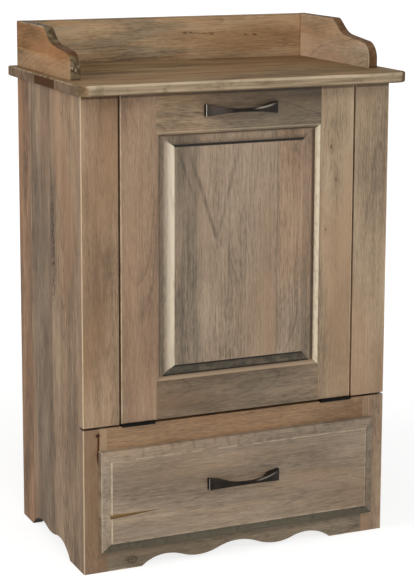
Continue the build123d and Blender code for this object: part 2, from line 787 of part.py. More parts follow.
def drawer_box_front():
    front = drawer_box_end(0)
    front -= pull_screws(drawer_pull_seat(), STOCK + DRAWER_STOCK, SCREW_CLEARANCE)
    return front - drawer_front_screws(SCREW_CLEARANCE)


def drawer_front_screws(grow):
    """Countersunk screws from inside the box front into the drawer front."""
    screws = []
    for height in (DRAWER_LOW + DRAWER_SCREW_INSET, DRAWER_HIGH - DRAWER_SCREW_INSET):
        screw = Pos(-DRAWER_SCREW_X, DRAWER_STOCK, height) * Rot(-90, 0, 0)
        screw = screw * wood_screw(0, 0, 0, False, grow)
        screws += [screw, mirror(screw, about=Plane.YZ)]
    return Compound(screws)


def slide_spacer():
    """Block that fills the side out to the drawer opening behind the stile."""
    low = SLIDE_MIDDLE - SPACER_HEIGHT / 2
    return block(-INNER_HALF, -DRAWER_OPENING, STOCK, SLIDE_END, low, low + SPACER_HEIGHT)


def channel(near, far, height, lip):
    """Left-hand channel section: near and far are its depths from the spacer's face.

    The web is on the near side, unless far is less than near, and the lip turns in at the far end.
    """
    sign = 1 if far > near else -1
    web = near + sign * SLIDE_STEEL
    flange = height / 2 - SLIDE_STEEL
    points = [(near, -height / 2), (far, -height / 2)]
    if lip > 0:
        points += [
            (far, -flange + lip),
            (far - sign * SLIDE_STEEL, -flange + lip),
            (far - sign * SLIDE_STEEL, -flange),
        ]
    else:
        points += [(far, -flange)]
    points += [(web, -flange)]
    upper = [(depth, -level) for depth, level in reversed(points)]
    return points + upper


def slide_member(near, far, height, lip):
    """One member of the left slide, extruded along the drawer's travel."""
    section = make_face(Polyline(*channel(near, far, height, lip), close=True))
    start = (-DRAWER_OPENING, SLIDE_SETBACK, SLIDE_MIDDLE)
    plane = Plane(origin=start, x_dir=(1, 0, 0), z_dir=(0, -1, 0))
    return extrude(plane * section, -SLIDE_LENGTH)


def slide_members():
    """Outer, middle and inner member of the left slide, nested with a running clearance."""
    step = SLIDE_STEEL + SLIDE_CLEARANCE
    outer_far = SLIDE_SPACE - 2 * SLIDE_STEEL
    outer = slide_member(0, outer_far, SLIDE_HEIGHT, SLIDE_LIP)
    middle_far = outer_far - step
    middle = slide_member(step, middle_far, SLIDE_HEIGHT - 2 * step, 0)
    inner = slide_member(SLIDE_SPACE, 2 * step, SLIDE_HEIGHT - 4 * step, 0)
    return outer, middle, inner


# Carcass pieces
write_pair("side_panel", side_panel())
write_pair("upper_stile", upper_stile())
write_pair("lower_stile", lower_stile())
write("middle_rail", middle_rail())
write("apron", apron())
write("top_slab", top_slab())
write("gallery_back", gallery_back())
write_pair("gallery_side", gallery_side())
write("back_panel", back_panel())
write("divider_shelf", divider_shelf())
write("bottom_panel", bottom_panel())
write("stretcher_front", stretcher(STOCK + STOP_CLEARANCE))
write("stretcher_back", stretcher(BACK_FACE - STRETCHER_WIDTH))
write_pair("slide_spacer", slide_spacer())
write("magnetic_catches", magnetic_catches())
write_pair("hinge_frame_leaf", hinge_leaf(False))
write("hinge_pins", hinge_pins())
write("hinge_screws_frame", hinge_screws(False, 0))

# Door and what it carries
rail_top, rail_bottom = door_rails()
write_pair("door_stile", door_stile())
write("door_rail_top", rail_top)
write("door_rail_bottom", rail_bottom)
write("door_panel", door_panel())
write("door_pull", placed_pull(door_pull_seat()))
write("door_pull_screws", pull_screws(door_pull_seat(), STOCK, 0))
write_pair("hinge_door_leaf", hinge_leaf(True))
write("hinge_screws_door", hinge_screws(True, 0))
write("catch_plates", catch_plates())
write_pair("carrier_side", carrier_side())
write("carrier_base", carrier_base())
write("carrier_back", carrier_back())
write_pair("carrier_cleat", carrier_cleat())
write_pair("stop_block", stop_block())
write("waste_bin", waste_bin())

# Drawer and its slides
slide_outer, slide_middle, slide_inner = slide_members()
write("drawer_front", drawer_front())
write_pair("drawer_side", drawer_side())
write("drawer_box_front", drawer_box_front())
write("drawer_box_back", drawer_box_end(DRAWER_DEPTH - DRAWER_STOCK))
write("drawer_bottom", drawer_bottom())
write("drawer_pull", placed_pull(drawer_pull_seat()))
write("drawer_pull_screws", pull_screws(drawer_pull_seat(), STOCK + DRAWER_STOCK, 0))
write("drawer_front_screws", drawer_front_screws(0))
write_pair("slide_outer", slide_outer)
write_pair("slide_middle", slide_middle)
write_pair("slide_inner", slide_inner)
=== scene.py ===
import math

import bpy
import numpy as np
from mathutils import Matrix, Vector


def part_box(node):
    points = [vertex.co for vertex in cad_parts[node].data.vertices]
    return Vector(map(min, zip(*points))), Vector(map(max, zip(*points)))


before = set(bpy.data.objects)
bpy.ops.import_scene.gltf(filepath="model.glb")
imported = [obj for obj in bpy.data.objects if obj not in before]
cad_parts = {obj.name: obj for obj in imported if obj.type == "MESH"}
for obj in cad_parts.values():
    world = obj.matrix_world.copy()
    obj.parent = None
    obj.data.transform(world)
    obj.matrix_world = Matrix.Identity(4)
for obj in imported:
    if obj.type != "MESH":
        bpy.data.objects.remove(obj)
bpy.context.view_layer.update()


# Side panels
# Each side is glued up from upright maple boards of uneven width. It is scalloped along the floor
# and stained a weathered grey-brown that lies darkest where the grain is open.

class Wire:
    """One socket of a material. Arithmetic on it adds Math nodes to the same material."""

    def __init__(self, tree, socket):
        self.tree = tree
        self.socket = socket

    def node(self, kind, settings=None, values=None, output=0):
        """Adds a node of any kind: its settings first, then a value or a link for each input."""
        made = self.tree.nodes.new(kind)
        for name, value in (settings or {}).items():
            if name == "stops":
                stops = made.color_ramp.elements
                while len(stops) < len(value):
                    stops.new(0.5)
                for stop, (place, colour) in zip(stops, value):
                    stop.position = place
                    stop.color = colour
            else:
                setattr(made, name, value)
        for name, value in (values or {}).items():
            if isinstance(value, Wire):
                self.tree.links.new(value.socket, made.inputs[name])
            else:
                made.inputs[name].default_value = value
        return Wire(self.tree, made.outputs[output])

    def math(self, operation, *others):
        return self.node("ShaderNodeMath", {"operation": operation}, dict(enumerate((self, *others))))

    def __add__(self, other):
        return self.math("ADD", other)

    def __mul__(self, other):
        return self.math("MULTIPLY", other)

    def __sub__(self, other):
        return self.math("SUBTRACT", other)

    def __rsub__(self, other):
        return self.math("MULTIPLY_ADD", -1.0, other)

    def __truediv__(self, other):
        return self.math("DIVIDE", other)

    __radd__ = __add__
    __rmul__ = __mul__

    def rise(self, low, high):
        """Smooth step: 0 below low, 1 above high. With low over high it falls instead."""
        return self.node(
            "ShaderNodeMapRange",
            {"interpolation_type": "SMOOTHSTEP"},
            {"Value": self, "From Min": low, "From Max": high},
        )

    def near(self, place, outer, inner):
        """1 within the inner distance of a place, and 0 beyond the outer one."""
        return (self - place).math("ABSOLUTE").rise(outer, inner)

    def part(self, index):
        """One of the three parts of a vector."""
        return self.node("ShaderNodeSeparateXYZ", None, {0: self}, index)

    def tint(self, under, over):
        """Goes from the colour under to the colour over as this value goes from 0 to 1."""
        return self.node("ShaderNodeMix", {"data_type": "RGBA"}, {0: self, 6: under, 7: over}, 2)

    def band(self, low, high, soft):
        """1 between low and high, and 0 outside them, with soft shoulders."""
        return self.rise(low - soft, low + soft) * self.rise(high + soft, high - soft)

    def shade(self, colour, by):
        """Multiplies a colour by another where this value is 1, so that the grain still shows."""
        settings = {"data_type": "RGBA", "blend_type": "MULTIPLY"}
        return self.node("ShaderNodeMix", settings, {0: self, 6: colour, 7: by}, 2)

    def cloud(self, place, detail=2.0, roughness=0.5):
        """Noise over three coordinates that are already scaled, about 0.5 on average."""
        where = self.node("ShaderNodeCombineXYZ", None, dict(enumerate(place)))
        values = {"Vector": where, "Scale": 1.0, "Detail": detail, "Roughness": roughness}
        return self.node("ShaderNodeTexNoise", None, values)


def paint(red, green, blue):
    """A colour as a screen shows it, 0 to 255, turned to the linear values that nodes use."""
    values = np.array([red, green, blue]) / 255
    linear = np.where(values <= 0.04045, values / 12.92, ((values + 0.055) / 1.055) ** 2.4)
    return (*linear.tolist(), 1.0)


def new_finish(name):
    """A new material, with its shader, the object's coordinates as three wires, and the normal."""
    material = bpy.data.materials.new(name)
    material.use_nodes = True
    tree = material.node_tree
    shader = tree.nodes["Principled BSDF"]
    corner = tree.nodes.new("ShaderNodeTexCoord")
    place = Wire(tree, corner.outputs["Object"])
    xyz = [place.part(index) for index in range(3)]
    facing = Wire(tree, corner.outputs["Normal"])
    return material, shader, xyz, facing


def plug(wire, socket):
    wire.tree.links.new(wire.socket, socket)


def emboss(height, distance, strength, shader):
    """Makes a height stand out of the surface in the shading, by this many metres."""
    values = {"Height": height, "Distance": distance, "Strength": strength}
    plug(height.node("ShaderNodeBump", None, values), shader.inputs["Normal"])


def wear(node, xyz, edges):
    """How near a point is to the named edges of a board: 1 on the edge, 0 beyond about 3 mm.

    An edge is named by the two faces that meet there, such as "x- y-". The distance is the larger
    of the distances to the two faces.
    """
    low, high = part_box(node)
    total = None
    for edge in edges:
        gaps = []
        for face in edge.split():
            axis = "xyz".index(face[0])
            gaps.append(xyz[axis] - low[axis] if face[1] == "-" else high[axis] - xyz[axis])
        worn = gaps[0].math("MAXIMUM", gaps[1]).rise(0.0032, 0.0006)
        total = worn if total is None else total.math("MAXIMUM", worn)
    return total


def stained_maple(
    node, grain, across, tones, seed, pith, joints=(), edges=(), marks=None,
    mottle=1.0, grit=1.0, weave=1.0, gloss=0.28, soak=(0.25, 0.75),
):
    """Stained maple for one board, or for a panel glued up from boards.

    grain and across are the axes along and across the board's face. tones are its dark, middle and
    pale colours and its warm one. The growth rings are even steps of the distance from the log's
    heart, which runs at a slant behind the face, so they show as long cathedrals: pith is where
    the heart lies across the board, where along the grain it comes out of the face, its slant, and
    the number of rings in a metre. joints are the places across the panel where two boards meet.
    marks is a function that paints a board's own knots and streaks. mottle and grit are how strong
    its clouds and its fine grain are, weave how close its fibres lie, and gloss how much the lacquer
    shines. soak is how far a face turns to the end of the grain before it starts to drink the stain,
    and when it is full.
    """
    material, shader, xyz, facing = new_finish("stained_" + node)
    along = "xyz".index(grain)
    side = "xyz".index(across)
    deep = 3 - along - side
    u, v, w = xyz[along], xyz[side], xyz[deep]
    board = v * 0.0
    line = v * 0.0
    for joint in joints:
        board = board + v.math("GREATER_THAN", joint)
        line = line + v.near(joint, 0.0014, 0.0004)
    heart, outcrop, slant, rings = pith
    behind = (u - outcrop + board * 0.37) * slant
    u = u + board * 0.83 + seed
    wander = v.cloud((u * 5.0, v * 16.0, w * 16.0)) - 0.5
    ripple = v.cloud((u * 34.0, v * 60.0, w * 60.0)) - 0.5
    sideways = v - heart + board * 0.031 + wander * 0.02 + ripple * 0.002
    radius = (sideways * sideways + behind * behind + 0.00002).math("SQRT")
    uneven = v.cloud((radius * (rings * 0.3), board * 9.0, seed))
    year = (radius * rings + uneven * 2.6).math("FRACT")
    strong = v.cloud((radius * (rings * 0.45), u * 1.6, board * 9.0 + seed), 2.0, 0.6).rise(0.36, 0.62)
    late = year.rise(0.66, 0.93) * year.rise(1.0, 0.95) * strong
    fibre = v.cloud((u * (22.0 * weave), v * (400.0 * weave), w * 400.0), 2.0, 0.62)
    fleck = v.cloud((u * (64.0 * weave), v * (560.0 * weave), w * 560.0), 2.0, 0.6)
    streak = v.cloud((u * 3.5, v * (110.0 * weave) + board * 7.0, w * 110.0), 3.0, 0.6)
    blotch = v.cloud((u * 4.5 + 9.0, v * 16.0 + board * 5.0, w * 16.0), 2.0, 0.5)
    curl = v.cloud((u * 60.0, v * 20.0, w * 20.0), 2.0, 0.5)
    depth_of_stain = (
        (fibre - 0.5) * (0.66 * grit)
        + (fleck - 0.5) * (1.05 * grit)
        + (streak - 0.5) * (0.62 * grit)
        + (blotch - 0.5) * (1.15 * mottle)
        + (curl - 0.5) * 0.14
        - late * 0.17
        + 0.52
    )
    dark, middle, pale, warm = tones
    colour = depth_of_stain.node(
        "ShaderNodeValToRGB",
        {"stops": [(0.1, dark), (0.5, middle), (0.9, pale)]},
        {0: depth_of_stain},
    )
    glow = v.cloud((u * 2.2 + 4.0, v * 11.0 + board * 3.0, w * 11.0), 2.0, 0.5)
    colour = (glow.rise(0.44, 0.7) * 0.55).tint(colour, warm)
    if joints:
        colour = (line * 0.6).tint(colour, dark)
    turned = facing.part(along).math("ABSOLUTE")
    open_grain = v.cloud((u * 200.0, v * 260.0, w * 260.0), 3.0, 0.65)
    soaked = open_grain.rise(0.3, 0.7).tint(paint(74, 60, 44), paint(112, 94, 72))
    colour = (turned.rise(*soak) * 0.85).tint(colour, soaked)
    if marks:
        colour = marks(colour, xyz, facing)
    if edges:
        pale_edge_mask = wear(node, xyz, edges)
        patchy = v.cloud((u * 26.0, v * 60.0, w * 60.0), 3.0, 0.6).rise(0.36, 0.6)
        colour = (pale_edge_mask * (patchy * 0.5 + 0.15)).tint(colour, paint(206, 182, 152))
    plug(colour, shader.inputs["Base Color"])
    plug(fibre * 0.12 + (fleck * 0.1 + (0.52 - gloss)), shader.inputs["Roughness"])
    height = fibre * 0.6 + fleck * 0.3 + streak * 0.4 - late * 0.2
    emboss(height, 0.0005, 0.35, shader)
    shader.inputs["Specular IOR Level"].default_value = gloss
    dress(node, material)


def dress(node, material):
    """Gives a CAD node one material all over."""
    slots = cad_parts[node].data.materials
    slots.clear()
    slots.append(material)


def side_marks(colour, xyz, facing):
    """A warm board at the back, a grey one in the middle, and a line of small knots in front of it.

    The sawn underside of the scallops is painted dark, as shade.
    """
    y, z = xyz[1], xyz[2]
    # Painted shade: faces turned towards the floor are darkened.
    down = facing.part(2).rise(-0.05, -0.4)
    colour = (down * 0.85).tint(colour, paint(30, 25, 21))
    sway = (y.cloud((z * 6.0, 1.0, 4.0)) - 0.5) * 0.03
    colour = y.rise(0.126, 0.136).shade(colour, (1.08, 0.93, 0.84, 1.0))
    greyer = z.rise(0.82, 0.62) * 0.6 + 0.2
    colour = ((y + sway).band(0.02, 0.108, 0.012) * greyer).shade(colour, (0.72, 0.77, 0.83, 1.0))
    dark_line = (y + sway * 0.2).near(0.118, 0.0055, 0.001) * z.rise(0.42, 0.6)
    colour = (dark_line * 0.65).shade(colour, (0.5, 0.45, 0.4, 1.0))
    paler = z.rise(0.4, 0.66) * 0.5 + 0.25
    colour = ((y + sway * 0.5).band(-0.16, -0.02, 0.02) * paler).shade(colour, (1.22, 1.2, 1.18, 1.0))
    specks = y.cloud((z * 120.0, y * 160.0, 3.0), 2.0, 0.6).rise(0.47, 0.57)
    row = (y + sway * 0.25).near(0.001, 0.011, 0.002) * z.band(0.48, 0.68, 0.03)
    colour = (row * 0.3).shade(colour, (0.62, 0.58, 0.54, 1.0))
    return (row * specks).shade(colour, (0.24, 0.19, 0.15, 1.0))


weathered = (paint(92, 76, 61), paint(141, 118, 95), paint(174, 150, 124), paint(157, 122, 93))
side_joints = [0.014, 0.131]
for seed, node in enumerate(("side_panel_left", "side_panel_right")):
    stained_maple(
        node,
        "z",
        "y",
        weathered,
        1.7 + 2.9 * seed,
        (-0.05, 1.3, 0.09, 260.0),
        side_joints,
        marks=side_marks,
        mottle=1.2,
        grit=0.95,
        weave=0.5,
        gloss=0.08,
    )


# Face boards
# The upper stiles, lower stiles, middle rail and apron are single 19 mm boards that meet flush.
# Their outer front edges are eased, and the stain is worn away there to a pale line; on the left front
# corner that line is also a painted highlight. The upper boards carry a painted shadow along their tops
# under the slab.

cabinet_left, front_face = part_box("upper_stile_left")[0][:2]
slab_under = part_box("top_slab")[0][2]


def painted_shadow_under_slab(colour, xyz, facing):
    """A painted shadow along the top of an upper board's front, close under the slab."""
    front = xyz[1].math("LESS_THAN", front_face + 0.0005)
    # Painted shadow: the front is darkened for about a centimetre below the slab, as if shaded by its
    # overhang.
    painted_shadow = xyz[2].rise(slab_under - 0.0118, slab_under - 0.0085)
    return (front * painted_shadow * 0.85).shade(colour, (0.26, 0.23, 0.2, 1.0))


def worn_and_highlit_corner(colour, xyz, facing):
    """The pale line down the left front corner, partly stain sanded through and partly a painted highlight.
    """
    x, y, z = xyz
    # Pale line painted partly as wear and partly as a highlight on the eased corner.
    corner = (x - cabinet_left).math("MAXIMUM", y - front_face).rise(0.0026, 0.001)
    uneven = x.cloud((z * 22.0, x * 200.0, 4.0), 3.0, 0.6).rise(0.25, 0.5)
    return (corner * (uneven * 0.5 + 0.3)).tint(colour, paint(206, 184, 154))


def left_stile_marks(colour, xyz, facing):
    return worn_and_highlit_corner(painted_shadow_under_slab(colour, xyz, facing), xyz, facing)


stile_tone = (paint(108, 90, 72), paint(145, 121, 97), paint(170, 145, 119), paint(154, 121, 92))
right_tone = (paint(110, 95, 77), paint(152, 131, 107), paint(180, 157, 131), paint(162, 130, 99))
stained_maple(
    "upper_stile_left",
    "z",
    "x",
    stile_tone,
    3.1,
    (-0.262, 1.15, 0.055, 300.0),
    marks=left_stile_marks,
    mottle=1.5,
    grit=0.85,
    gloss=0.12,
)
stained_maple(
    "upper_stile_right",
    "z",
    "x",
    right_tone,
    7.9,
    (0.285, 0.1, 0.055, 260.0),
    edges=("x+ y-",),
    marks=painted_shadow_under_slab,
    mottle=1.0,
    grit=0.9,
)


def split_in_stile(colour, xyz, facing):
    """A dark crack up the left lower stile to a small hole, with a pale strip next to it."""
    x, z = xyz[0], xyz[2]
    crack_x = -0.2765
    hole_x, hole_z = -0.277, 0.258
    colour = worn_and_highlit_corner(colour, xyz, facing)
    bend = (x.cloud((z * 30.0, 2.0, 5.0)) - 0.5) * 0.006
    strip = x.near(-0.2665, 0.0085, 0.006) * z.rise(0.19, 0.215)
    colour = (strip * 0.55).tint(colour, paint(180, 154, 122))
    reach = z.rise(0.2, 0.215) * z.rise(0.266, 0.258)
    aside = (x + bend - crack_x).math("ABSOLUTE")
    away = ((x - hole_x) * (x - hole_x) + (z - hole_z) * (z - hole_z)).math("SQRT")
    halo = (aside.rise(0.0045, 0.001) * reach).math("MAXIMUM", away.rise(0.0085, 0.003))
    colour = (halo * 0.6).tint(colour, paint(112, 68, 32))
    crack = (aside.rise(0.0018, 0.0006) * reach).math("MAXIMUM", away.rise(0.0052, 0.0016))
    return crack.tint(colour, paint(36, 18, 6))


lower_tone = (paint(94, 79, 63), paint(133, 113, 93), paint(160, 138, 113), paint(142, 112, 84))
stained_maple(
    "lower_stile_left",
    "z",
    "x",
    lower_tone,
    5.3,
    (-0.28, 0.6, 0.06, 240.0),
    marks=split_in_stile,
    gloss=0.12,
)
low_right_tone = (paint(102, 86, 68), paint(146, 123, 100), paint(170, 147, 121), paint(154, 121, 92))
stained_maple(
    "lower_stile_right", "z", "x", low_right_tone, 9.7, (0.3, 0.7, 0.06, 240.0), edges=("x+ y-",)
)
rail_tone = (paint(104, 79, 56), paint(139, 110, 82), paint(162, 132, 100), paint(156, 112, 77))
stained_maple("middle_rail", "x", "z", rail_tone, 2.2, (0.22, -0.7, 0.05, 240.0), mottle=0.9)


apron_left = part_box("apron")[0][0]
drawer_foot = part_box("drawer_front")[0][2]


def knot_in_apron(colour, xyz, facing):
    """A small round knot in the left foot, a dark left end, and a painted shadow under the drawer front."""
    x, z = xyz[0], xyz[2]
    knot_x, knot_z = -0.212, 0.0155
    bend = (x.cloud((x * 130.0, z * 130.0, 3.0)) - 0.5) * 0.004
    off = ((x - knot_x) * (x - knot_x) * 0.5 + (z - knot_z) * (z - knot_z)).math("SQRT") + bend
    colour = (off.rise(0.016, 0.004) * 0.7).shade(colour, (0.66, 0.68, 0.64, 1.0))
    colour = (off.near(0.0062, 0.0022, 0.0004) * 0.7).shade(colour, (0.42, 0.38, 0.34, 1.0))
    colour = (off.rise(0.0026, 0.0008) * 0.7).tint(colour, paint(56, 44, 32))
    colour = (x.near(apron_left, 0.0016, 0.0005) * 0.6).shade(colour, (0.45, 0.4, 0.36, 1.0))
    # Painted shadow: the apron is darkened just below the drawer front's lower edge.
    painted_shadow = z.rise(drawer_foot - 0.013, drawer_foot - 0.0005)
    return (painted_shadow * 0.7).shade(colour, (0.52, 0.5, 0.44, 1.0))


apron_tone = (paint(86, 77, 63), paint(126, 112, 93), paint(154, 139, 117), paint(134, 112, 89))
stained_maple(
    "apron",
    "x",
    "z",
    apron_tone,
    6.1,
    (0.02, -0.5, 0.08, 240.0),
    edges=("y- z-",),
    marks=knot_in_apron,
    mottle=1.2,
)


# Top slab
# Boards glued edge to edge and rounded over along their upper edge. The end grain shows on the
# left, where one board took the stain much darker.

slab_low, slab_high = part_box("top_slab")
slab_front, slab_end, slab_top = slab_low[1], slab_high[0], slab_high[2]
slab_joints = [-0.067, 0.043, 0.12]


def slab_marks(colour, xyz, facing):
    """A dark board end in the left edge, a front edge paler than the top, a painted highlight along the
    rounded top of the front edge, and painted shade along its lower edge.
    """
    x, y, z = xyz
    end = x.math("ABSOLUTE").rise(slab_end - 0.0034, slab_end - 0.0022)
    colour = (end * 0.75).tint(colour, paint(116, 96, 78))
    pale = x.cloud((x * 40.0, y * 40.0, z * 40.0), 2.0, 0.5).rise(0.42, 0.6)
    colour = (end * pale * 0.5).tint(colour, paint(148, 124, 100))
    dark_board = y.band(slab_joints[0], slab_joints[1], 0.0012) * x.math("LESS_THAN", 0.0)
    colour = (dark_board * end).tint(colour, paint(74, 46, 20))
    ahead = facing.part(1).rise(-0.3, -0.8)
    front = y.rise(slab_front + 0.003, slab_front + 0.001) * ahead
    long_grain = x.cloud((x * 9.0, y * 90.0, z * 190.0), 3.0, 0.6).rise(0.3, 0.7)
    edge = long_grain.tint(paint(136, 120, 99), paint(178, 160, 134))
    colour = (front * 0.85).tint(colour, edge)
    # Painted highlight along the rounded-over top of the front edge.
    shoulder_highlight = y.rise(slab_front + 0.005, slab_front + 0.0025) * z.rise(slab_top - 0.0055, slab_top - 0.003)
    colour = (shoulder_highlight * (long_grain * 0.5 + 0.3)).tint(colour, paint(214, 196, 166))
    smudge = x.cloud((x * 26.0, y * 50.0, z * 40.0), 3.0, 0.6).rise(0.54, 0.66)
    colour = (front * smudge * 0.6).shade(colour, (0.6, 0.58, 0.56, 1.0))
    # Painted shade along the lower edge of the front.
    shaded_low_edge = z.rise(slab_under + 0.0035, slab_under + 0.001)
    return (front * shaded_low_edge * 0.8).shade(colour, (0.42, 0.38, 0.34, 1.0))


top_tone = (paint(96, 77, 54), paint(142, 116, 84), paint(168, 142, 108), paint(150, 112, 74))
stained_maple(
    "top_slab",
    "x",
    "y",
    top_tone,
    4.4,
    (0.06, -1.3, 0.06, 200.0),
    joints=slab_joints,
    edges=("x- z+", "y- z+", "x+ z+"),
    marks=slab_marks,
    mottle=1.35,
    grit=1.2,
    weave=0.5,
    gloss=0.03,
)


# Gallery
# A back board and two shaped ends stand on the slab. Mineral stain has left short dark dashes in
# the back board, and the sawn curve of each end has soaked up more stain than its faces.

gallery_inner, _, gallery_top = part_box("gallery_back")[1]
nose_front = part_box("gallery_side_left")[0][1]


def dashes(colour, xyz, facing):
    """Short dark dashes of mineral stain in a broken line, and grey clouds in the left half.

    The board is darker along its top and where it meets the two ends, and painted shade darkens it
    along its foot.
    """
    x, z = xyz[0], xyz[2]
    haze = x.cloud((x * 5.0, z * 30.0, 6.0), 3.0, 0.6).rise(0.44, 0.6) * x.rise(0.18, 0.0)
    colour = (haze * 0.8).shade(colour, (0.7, 0.78, 0.88, 1.0))
    ribbon = x.cloud((x * 3.0, z * 85.0, 1.0), 3.0, 0.6).rise(0.56, 0.68)
    colour = (ribbon * 0.6).shade(colour, (0.8, 0.68, 0.54, 1.0))
    corner = x.math("ABSOLUTE").rise(gallery_inner - 0.0025, gallery_inner - 0.0007)
    colour = (corner * 0.8).shade(colour, (0.45, 0.4, 0.34, 1.0))
    colour = (z.rise(gallery_top - 0.0028, gallery_top - 0.0015) * 0.6).shade(colour, (0.5, 0.45, 0.4, 1.0))
    row = (z + x * 0.05).near(0.9462, 0.0028, 0.0008)
    broken = x.cloud((x * 85.0, z * 260.0, 3.0)).rise(0.47, 0.55)
    reach = x.band(0.028, 0.102, 0.004) + x.band(0.16, 0.188, 0.004)
    colour = (row * broken * reach * 0.9).shade(colour, (0.3, 0.24, 0.18, 1.0))
    # Painted shade along the foot, where the board stands on the slab.
    foot = z.rise(slab_top + 0.009, slab_top + 0.001)
    return (foot * 0.5).shade(colour, (0.5, 0.46, 0.42, 1.0))


gallery_tone = (paint(112, 93, 68), paint(172, 144, 111), paint(204, 177, 142), paint(188, 146, 104))
stained_maple(
    "gallery_back",
    "x",
    "z",
    gallery_tone,
    8.8,
    (0.97, -1.4, 0.05, 240.0),
    marks=dashes,
    mottle=1.7,
    grit=0.95,
    gloss=0.12,
)


def rim_marks(colour, xyz, facing):
    """The ends' own stain.

    The sawn curve is dark brown. On the left end it is greyer high and low, with pale chips near its
    nose, and on the right end the inner side of its nose is painted pale as a highlight. A painted
    shadow darkens the nose where it stands on the slab. The faces that show are warmer above a wavy
    line and paler below it, with a seam along the line on the left end.
    """
    x, y, z = xyz
    up = facing.part(2).math("ABSOLUTE")
    ahead = facing.part(1).math("ABSOLUTE")
    rim = up.math("MAXIMUM", ahead).rise(0.4, 0.8)
    cloudy = x.cloud((x * 60.0, y * 60.0, z * 60.0), 3.0, 0.6).rise(0.42, 0.6)
    sawn = cloudy.tint(paint(78, 44, 20), paint(108, 74, 44))
    left = x.math("LESS_THAN", 0.0)
    green = cloudy.tint(paint(66, 56, 40), paint(122, 108, 84))
    sawn = (left * (z.rise(0.947, 0.953) + z.rise(0.937, 0.931))).tint(sawn, green)
    colour = (rim * 0.88).tint(colour, sawn)
    bend = (x.cloud((x * 120.0, y * 120.0, z * 120.0)) - 0.5) * 0.01
    chip_x, chip_z = -0.298, 0.917
    off = ((z - chip_z) * (z - chip_z) * 0.3 + (x - chip_x) * (x - chip_x)).math("SQRT") + bend
    chips = x.cloud((x * 210.0, y * 210.0, z * 160.0), 3.0, 0.6).rise(0.46, 0.62)
    tip = y.rise(nose_front + 0.0045, nose_front + 0.0015)
    speck = off.rise(0.011, 0.003) * tip * chips
    colour = (speck * 0.75).tint(colour, paint(190, 176, 150))
    # Painted shadow where the nose stands on the slab.
    foot = z.rise(slab_top + 0.0045, slab_top + 0.0015) * tip
    colour = (foot * 0.7).shade(colour, (0.4, 0.34, 0.28, 1.0))
    haze = x.cloud((x * 9.0, y * 9.0, z * 34.0), 3.0, 0.6).rise(0.48, 0.62) * x.rise(0.0, 0.1) * (1 - rim)
    colour = (haze * 0.6).shade(colour, (0.76, 0.82, 0.88, 1.0))
    outside = x.math("LESS_THAN", cabinet_left + 0.0005)
    wavy = z + (x.cloud((y * 14.0, 2.0, 7.0)) - 0.5) * 0.012
    colour = (outside * wavy.rise(0.922, 0.928)).shade(colour, (1.18, 1.04, 0.9, 1.0))
    colour = (outside * wavy.rise(0.928, 0.922)).shade(colour, (1.32, 1.34, 1.36, 1.0))
    inner = x.band(gallery_inner - 0.0005, gallery_inner + 0.0005, 0.0003)
    colour = (inner * wavy.rise(0.932, 0.942) * 0.9).shade(colour, (0.94, 0.86, 0.76, 1.0))
    colour = (inner * wavy.rise(0.942, 0.932) * 0.9).shade(colour, (1.06, 1.07, 1.09, 1.0))
    seam = wavy.near(0.925, 0.0016, 0.0004) * y.rise(0.0, 0.1)
    colour = (outside * seam * 0.6).tint(colour, paint(190, 146, 90))
    # Painted highlight on the inner side of the right end's nose.
    nose_side = x.rise(gallery_inner + 0.0022, gallery_inner + 0.0008) * x.math("GREATER_THAN", 0.0)
    nose = rim * nose_side * z.rise(0.94, 0.928)
    return (nose * 0.7).tint(colour, paint(206, 186, 158))


# The right end's tones are much paler than the left's: painted light, making up for the shade its inner face
# sits in.
gallery_end_tones_painted_light = (
    (paint(94, 73, 50), paint(146, 117, 87), paint(176, 149, 116), paint(160, 114, 76)),
    (paint(146, 125, 102), paint(200, 175, 147), paint(228, 205, 178), paint(208, 168, 132)),
)
for seed, node in enumerate(("gallery_side_left", "gallery_side_right")):
    stained_maple(
        node,
        "y",
        "z",
        gallery_end_tones_painted_light[seed],
        6.6 + seed,
        (0.87, -0.6, 0.14, 220.0),
        edges=("x- z+", "x+ z+"),
        marks=rim_marks,
        mottle=1.0,
        grit=0.6,
        gloss=0.04,
        soak=(2.0, 3.0),
    )


# Door frame
# Two stiles and two rails, coped together round the panel. The rails took more stain than the
# stiles, so they read greyer and darker.

moulding_width = 0.008
stile_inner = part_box("door_stile_right")[0][0]
stile_flat = stile_inner + moulding_width
top_rail_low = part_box("door_rail_top")[0][2]
bottom_rail_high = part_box("door_rail_bottom")[1][2]


def small_knots(colour, xyz, facing):
    """Pin knots near the top of the right stile, each in a faint dark halo, a moulding painted pale,
    partly as wear and partly as a highlight, a dark line at its edge, and the painted shadow under
    the slab.
    """
    x, z = xyz[0], xyz[2]
    colour = painted_shadow_under_slab(colour, xyz, facing)
    for place, height, size in ((0.185, 0.755, 0.003), (0.196, 0.693, 0.0024), (0.176, 0.6, 0.002)):
        off = ((x - place) * (x - place) + (z - height) * (z - height) * 0.25).math("SQRT")
        colour = (off.rise(size * 4, size) * 0.35).shade(colour, (0.7, 0.66, 0.6, 1.0))
        colour = off.rise(size, size * 0.4).shade(colour, (0.5, 0.42, 0.34, 1.0))
    # Painted highlight, partly wear: this moulding faces the light from the left.
    moulding = x.rise(stile_flat + 0.0003, stile_flat - 0.001)
    flecked = x.cloud((x * 300.0, z * 60.0, 9.0), 3.0, 0.6).rise(0.3, 0.55)
    colour = (moulding * (flecked * 0.4 + 0.5)).tint(colour, paint(218, 204, 178))
    return (x.near(stile_flat + 0.0002, 0.0012, 0.0003) * 0.5).shade(colour, (0.5, 0.46, 0.4, 1.0))


